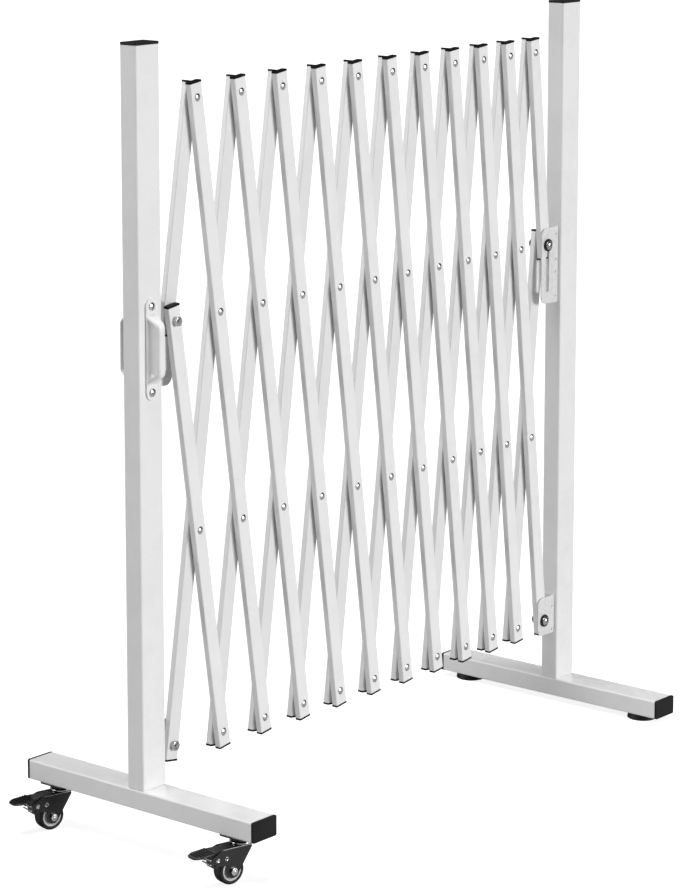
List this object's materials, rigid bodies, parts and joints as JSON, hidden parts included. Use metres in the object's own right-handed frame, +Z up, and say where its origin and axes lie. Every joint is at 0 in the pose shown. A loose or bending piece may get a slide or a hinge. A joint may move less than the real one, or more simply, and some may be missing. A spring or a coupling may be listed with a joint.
{
  "type": "expandable safety barrier",
  "caption": "Expanding scissor-lattice safety barrier between two upright posts, one on a foot with braked swivel casters, the other on rubber feet",
  "frame": {"origin": "bottom centre of the barrier's box, on the floor", "axes": "+X runs from the caster stand to the fixed stand, -Y is the front with the rivet heads, +Z is up"},
  "size_m": [1.118, 0.45, 1.187],
  "materials": {
    "bar_white": "powder-coated steel tube",
    "post_white": "powder-coated steel tube",
    "foot_white": "powder-coated steel tube",
    "bracket_white": "powder-coated steel sheet",
    "handle_white": "powder-coated steel strap",
    "hub_white": "moulded light plastic",
    "black_plastic": "moulded black plastic",
    "black_rubber": "moulded black rubber",
    "black_metal": "black-coated pressed steel",
    "zinc": "bright zinc-plated steel"
  },
  "bodies": {
    "left_stand": {"left_post": "post_white", "left_post_cap": "black_plastic", "left_foot": "foot_white", "left_foot_front_cap": "black_plastic", "left_foot_rear_cap": "black_plastic", "left_upper_bracket": "bracket_white", "left_lower_bracket": "bracket_white", "left_lower_pivot_bolt": "zinc", "front_pull_handle": "handle_white", "rear_pull_handle": "handle_white", "front_caster_plate": "black_metal", "rear_caster_plate": "black_metal"},
    "right_stand": {"right_post": "post_white", "right_post_cap": "black_plastic", "right_foot": "foot_white", "right_foot_front_cap": "black_plastic", "right_foot_rear_cap": "black_plastic", "right_upper_bracket": "bracket_white", "right_lower_bracket": "bracket_white", "right_lower_pivot_bolt": "zinc", "front_rubber_foot": "black_rubber", "rear_rubber_foot": "black_rubber"},
    "back_bar_01": {"back_bar_01": "bar_white"},
    "front_bar_01": {"front_bar_01": "bar_white"},
    "back_bar_02": {"back_bar_02": "bar_white"},
    "front_bar_02": {"front_bar_02": "bar_white"},
    "back_bar_03": {"back_bar_03": "bar_white"},
    "front_bar_03": {"front_bar_03": "bar_white"},
    "back_bar_04": {"back_bar_04": "bar_white"},
    "front_bar_04": {"front_bar_04": "bar_white"},
    "back_bar_05": {"back_bar_05": "bar_white"},
    "front_bar_05": {"front_bar_05": "bar_white"},
    "back_bar_06": {"back_bar_06": "bar_white"},
    "front_bar_06": {"front_bar_06": "bar_white"},
    "back_bar_07": {"back_bar_07": "bar_white"},
    "front_bar_07": {"front_bar_07": "bar_white"},
    "back_bar_08": {"back_bar_08": "bar_white"},
    "front_bar_08": {"front_bar_08": "bar_white"},
    "back_bar_09": {"back_bar_09": "bar_white"},
    "front_bar_09": {"front_bar_09": "bar_white"},
    "back_bar_10": {"back_bar_10": "bar_white"},
    "front_bar_10": {"front_bar_10": "bar_white"},
    "front_bar_left_short": {"front_bar_left_short": "bar_white", "left_upper_pivot_bolt": "zinc"},
    "back_bar_left_short": {"back_bar_left_short": "bar_white"},
    "back_bar_right_short": {"back_bar_right_short": "bar_white", "right_upper_pivot_bolt": "zinc"},
    "front_bar_right_short": {"front_bar_right_short": "bar_white"},
    "front_caster": {"front_caster_fork": "black_metal", "front_axle": "zinc"},
    "front_wheel": {"front_tyre": "black_rubber", "front_wheel_hub": "hub_white"},
    "front_pedal": {"front_brake_pedal": "black_plastic"},
    "rear_caster": {"rear_caster_fork": "black_metal", "rear_axle": "zinc"},
    "rear_wheel": {"rear_tyre": "black_rubber", "rear_wheel_hub": "hub_white"},
    "rear_pedal": {"rear_brake_pedal": "black_plastic"}
  },
  "joints": [
    {"name": "lattice_opening", "type": "hinge", "parent": "front_bar_05", "child": "back_bar_05", "pos_m": [0.03462, 0, 0.7846], "axis": [0, 1, 0], "range_deg": [-6.01, 42.14]},
    {"name": "scissor_10", "type": "hinge", "parent": "front_bar_05", "child": "back_bar_06", "pos_m": [0.0757, 0, 0.46624], "axis": [0, 1, 0], "range_deg": [-6.1, 42.46]},
    {"name": "scissor_08", "type": "hinge", "parent": "back_bar_05", "child": "front_bar_04", "pos_m": [-0.00719, 0, 0.46604], "axis": [0, 1, 0], "range_deg": [-41.93, 6.02]},
    {"name": "scissor_11", "type": "hinge", "parent": "back_bar_06", "child": "front_bar_06", "pos_m": [0.11602, 0, 0.78498], "axis": [0, 1, 0], "range_deg": [-42.73, 6.14]},
    {"name": "scissor_07", "type": "hinge", "parent": "front_bar_04", "child": "back_bar_04", "pos_m": [-0.04976, 0, 0.78421], "axis": [0, 1, 0], "range_deg": [-5.98, 41.66]},
    {"name": "scissor_12", "type": "hinge", "parent": "front_bar_06", "child": "back_bar_07", "pos_m": [0.15561, 0, 0.46643], "axis": [0, 1, 0], "range_deg": [-6.17, 43]},
    {"name": "scissor_06", "type": "hinge", "parent": "back_bar_04", "child": "front_bar_03", "pos_m": [-0.09307, 0, 0.46583], "axis": [0, 1, 0], "range_deg": [-41.39, 5.95]},
    {"name": "scissor_13", "type": "hinge", "parent": "back_bar_07", "child": "front_bar_07", "pos_m": [0.19444, 0, 0.78535], "axis": [0, 1, 0], "range_deg": [-43.27, 6.21]},
    {"name": "scissor_05", "type": "hinge", "parent": "front_bar_03", "child": "back_bar_03", "pos_m": [-0.13712, 0, 0.78379], "axis": [0, 1, 0], "range_deg": [-5.91, 41.12]},
    {"name": "scissor_14", "type": "hinge", "parent": "front_bar_07", "child": "back_bar_08", "pos_m": [0.23253, 0, 0.46662], "axis": [0, 1, 0], "range_deg": [-6.25, 43.53]},
    {"name": "scissor_04", "type": "hinge", "parent": "back_bar_03", "child": "front_bar_02", "pos_m": [-0.18192, 0, 0.46562], "axis": [0, 1, 0], "range_deg": [-40.85, 5.87]},
    {"name": "scissor_15", "type": "hinge", "parent": "back_bar_08", "child": "front_bar_08", "pos_m": [0.26988, 0, 0.7857], "axis": [0, 1, 0], "range_deg": [-43.8, 6.29]},
    {"name": "scissor_03", "type": "hinge", "parent": "front_bar_02", "child": "back_bar_02", "pos_m": [-0.22747, 0, 0.78337], "axis": [0, 1, 0], "range_deg": [-5.83, 40.58]},
    {"name": "scissor_16", "type": "hinge", "parent": "front_bar_08", "child": "back_bar_09", "pos_m": [0.30648, 0, 0.4668], "axis": [0, 1, 0], "range_deg": [-6.33, 44.07]},
    {"name": "scissor_02", "type": "hinge", "parent": "back_bar_02", "child": "front_bar_01", "pos_m": [-0.27376, 0, 0.4654], "axis": [0, 1, 0], "range_deg": [-40.31, 5.79]},
    {"name": "scissor_17", "type": "hinge", "parent": "back_bar_09", "child": "front_bar_09", "pos_m": [0.34233, 0, 0.78604], "axis": [0, 1, 0], "range_deg": [-44.34, 6.37]},
    {"name": "scissor_01", "type": "hinge", "parent": "front_bar_01", "child": "back_bar_01", "pos_m": [-0.32079, 0, 0.78293], "axis": [0, 1, 0], "range_deg": [-5.75, 40.05]},
    {"name": "scissor_18", "type": "hinge", "parent": "front_bar_09", "child": "back_bar_10", "pos_m": [0.37744, 0, 0.46697], "axis": [0, 1, 0], "range_deg": [-6.41, 44.61]},
    {"name": "left_lower_pivot", "type": "hinge", "parent": "back_bar_01", "child": "left_stand", "pos_m": [-0.41636, 0, 0.14814], "axis": [0, 1, 0], "range_deg": [-19.98, 2.89]},
    {"name": "left_end_front_scissor", "type": "hinge", "parent": "back_bar_01", "child": "front_bar_left_short", "pos_m": [-0.36858, 0, 0.46517], "axis": [0, 1, 0], "range_deg": [-39.78, 5.72]},
    {"name": "scissor_19", "type": "hinge", "parent": "back_bar_10", "child": "front_bar_10", "pos_m": [0.41181, 0, 0.78637], "axis": [0, 1, 0], "range_deg": [-44.87, 6.44]},
    {"name": "left_end_back_scissor", "type": "hinge", "parent": "front_bar_left_short", "child": "back_bar_left_short", "pos_m": [-0.4171, 0, 0.78248], "axis": [0, 1, 0], "range_deg": [-5.68, 39.51]},
    {"name": "right_lower_pivot", "type": "hinge", "parent": "front_bar_10", "child": "right_stand", "pos_m": [0.47904, 0, 0.1479], "axis": [0, 1, 0], "range_deg": [-3.26, 22.53]},
    {"name": "right_end_back_scissor", "type": "hinge", "parent": "front_bar_10", "child": "back_bar_right_short", "pos_m": [0.44542, 0, 0.46714], "axis": [0, 1, 0], "range_deg": [-6.48, 45.14]},
    {"name": "right_end_front_scissor", "type": "hinge", "parent": "back_bar_right_short", "child": "front_bar_right_short", "pos_m": [0.4783, 0, 0.78668], "axis": [0, 1, 0], "range_deg": [-45.41, 6.52]},
    {"name": "front_caster_swivel", "type": "hinge", "parent": "left_stand", "child": "front_caster", "pos_m": [-0.47136, -0.18, 0.0575], "axis": [0, 0, 1], "continuous": true},
    {"name": "front_wheel_spin", "type": "hinge", "parent": "front_caster", "child": "front_wheel", "pos_m": [-0.4927, -0.17468, 0.021], "axis": [0.2419, 0.9703, 0], "continuous": true},
    {"name": "front_brake", "type": "hinge", "parent": "front_caster", "child": "front_pedal", "pos_m": [-0.51793, -0.16839, 0.042], "axis": [-0.2419, -0.9703, 0], "range_deg": [0, 12]},
    {"name": "rear_caster_swivel", "type": "hinge", "parent": "left_stand", "child": "rear_caster", "pos_m": [-0.47136, 0.18, 0.0575], "axis": [0, 0, 1], "continuous": true},
    {"name": "rear_wheel_spin", "type": "hinge", "parent": "rear_caster", "child": "rear_wheel", "pos_m": [-0.4927, 0.18532, 0.021], "axis": [0.2419, 0.9703, 0], "continuous": true},
    {"name": "rear_brake", "type": "hinge", "parent": "rear_caster", "child": "rear_pedal", "pos_m": [-0.51793, 0.19161, 0.042], "axis": [-0.2419, -0.9703, 0], "range_deg": [0, 12]}
  ],
  "couplings": [
    {"joint": "scissor_10", "follows": "lattice_opening", "ratio": 1.0064},
    {"joint": "scissor_08", "follows": "lattice_opening", "ratio": -0.99363},
    {"joint": "scissor_11", "follows": "lattice_opening", "ratio": -1.0127},
    {"joint": "scissor_07", "follows": "lattice_opening", "ratio": 0.98727},
    {"joint": "scissor_12", "follows": "lattice_opening", "ratio": 1.0191},
    {"joint": "scissor_06", "follows": "lattice_opening", "ratio": -0.9809},
    {"joint": "scissor_13", "follows": "lattice_opening", "ratio": -1.0254},
    {"joint": "scissor_05", "follows": "lattice_opening", "ratio": 0.97452},
    {"joint": "scissor_14", "follows": "lattice_opening", "ratio": 1.0318},
    {"joint": "scissor_04", "follows": "lattice_opening", "ratio": -0.96815},
    {"joint": "scissor_15", "follows": "lattice_opening", "ratio": -1.0382},
    {"joint": "scissor_03", "follows": "lattice_opening", "ratio": 0.96177},
    {"joint": "scissor_16", "follows": "lattice_opening", "ratio": 1.0445},
    {"joint": "scissor_02", "follows": "lattice_opening", "ratio": -0.9554},
    {"joint": "scissor_17", "follows": "lattice_opening", "ratio": -1.0509},
    {"joint": "scissor_01", "follows": "lattice_opening", "ratio": 0.94902},
    {"joint": "scissor_18", "follows": "lattice_opening", "ratio": 1.0572},
    {"joint": "left_lower_pivot", "follows": "lattice_opening", "ratio": -0.47291},
    {"joint": "left_end_front_scissor", "follows": "lattice_opening", "ratio": -0.94263},
    {"joint": "scissor_19", "follows": "lattice_opening", "ratio": -1.0636},
    {"joint": "left_end_back_scissor", "follows": "lattice_opening", "ratio": 0.93625},
    {"joint": "right_lower_pivot", "follows": "lattice_opening", "ratio": 0.53337},
    {"joint": "right_end_back_scissor", "follows": "lattice_opening", "ratio": 1.0699},
    {"joint": "right_end_front_scissor", "follows": "lattice_opening", "ratio": -1.0762}
  ]
}
